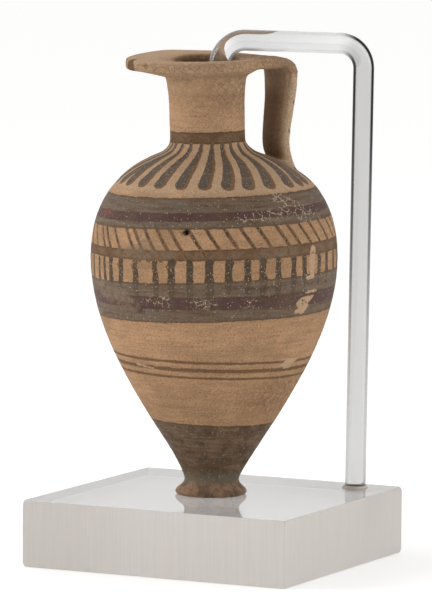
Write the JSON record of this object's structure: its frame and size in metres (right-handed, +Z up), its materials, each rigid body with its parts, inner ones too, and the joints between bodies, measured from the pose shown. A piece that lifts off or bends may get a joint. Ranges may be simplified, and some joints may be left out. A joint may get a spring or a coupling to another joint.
{
  "type": "pottery vase",
  "caption": "Small pointed ceramic oil flask with a flat disc lip and a strap handle, standing on a clear block with a bent clear rod that reaches into its mouth.",
  "frame": {"origin": "middle of the block's underside, on the surface that the stand rests on", "axes": "+Z up; +X along the block's long front edge; the handle and the rod's leg lie towards the +X, +Y corner"},
  "size_m": [0.083, 0.0764, 0.1518],
  "materials": {
    "sawn_acrylic": "clear cast sheet with a polished top and sawn, satin sides",
    "clear_acrylic": "clear extruded acrylic rod, polished, bent with heat",
    "fired_clay": "smoothed buff clay with painted dark slip bands, tongues and strokes, matt and worn"
  },
  "bodies": {
    "root": {"stand_block": "sawn_acrylic", "stand_rod": "clear_acrylic", "vase": "fired_clay"}
  },
  "joints": []
}
